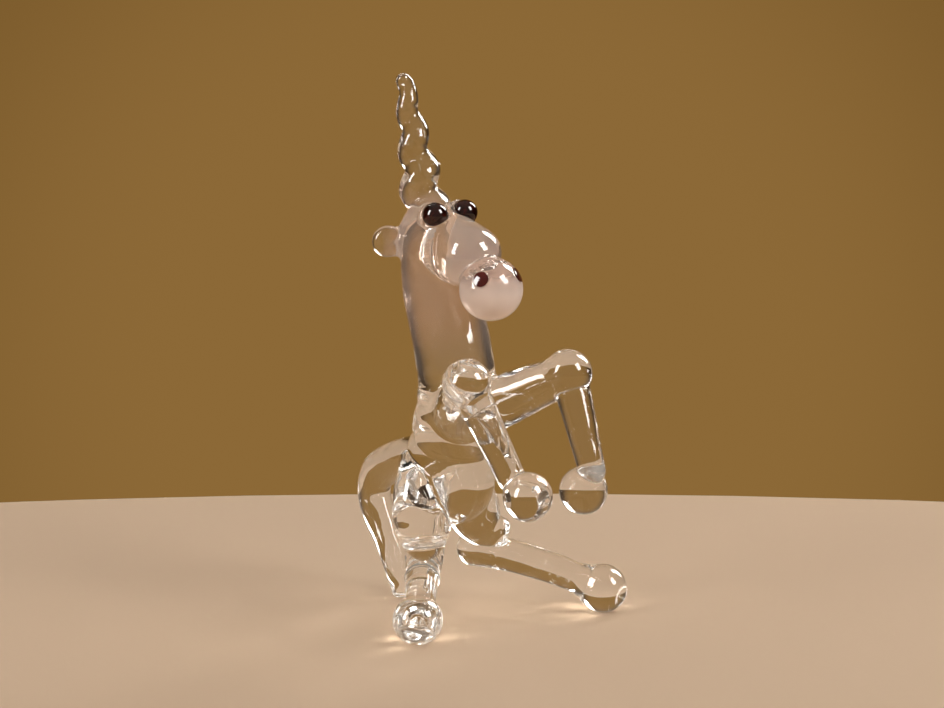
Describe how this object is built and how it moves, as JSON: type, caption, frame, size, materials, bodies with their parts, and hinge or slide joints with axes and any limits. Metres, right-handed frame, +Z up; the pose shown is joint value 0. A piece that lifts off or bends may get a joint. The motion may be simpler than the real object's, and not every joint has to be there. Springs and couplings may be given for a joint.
{
  "type": "glass unicorn figurine",
  "caption": "Small lamp-worked clear glass unicorn rearing on its hind hooves and tail, with twisted horn, dark eyes and nostrils.",
  "frame": {"origin": "middle of the figurine's footprint, at the level of the soles it stands on", "axes": "+Z up, the animal faces -Y and its left side is +X"},
  "size_m": [0.027, 0.0354, 0.0555],
  "materials": {
    "clear_glass": "fire polished",
    "blush_glass": "fire polished",
    "eye_glass": "fire polished",
    "nostril_glass": "fire polished"
  },
  "bodies": {
    "root": {"belly": "clear_glass", "chest": "clear_glass", "head": "clear_glass", "horn": "clear_glass", "left_ear": "clear_glass", "left_eye": "eye_glass", "left_eye_mound": "clear_glass", "left_fore_hoof": "clear_glass", "left_hind_cannon": "clear_glass", "left_hind_hoof": "clear_glass", "left_hock": "clear_glass", "left_knee": "clear_glass", "left_lower_foreleg": "clear_glass", "left_nostril": "nostril_glass", "left_thigh": "clear_glass", "left_upper_foreleg": "clear_glass", "muzzle": "blush_glass", "neck": "clear_glass", "right_ear": "clear_glass", "right_eye": "eye_glass", "right_eye_mound": "clear_glass", "right_fore_hoof": "clear_glass", "right_hind_cannon": "clear_glass", "right_hind_hoof": "clear_glass", "right_hock": "clear_glass", "right_knee": "clear_glass", "right_lower_foreleg": "clear_glass", "right_nostril": "nostril_glass", "right_thigh": "clear_glass", "right_upper_foreleg": "clear_glass", "tail": "clear_glass"}
  },
  "joints": []
}
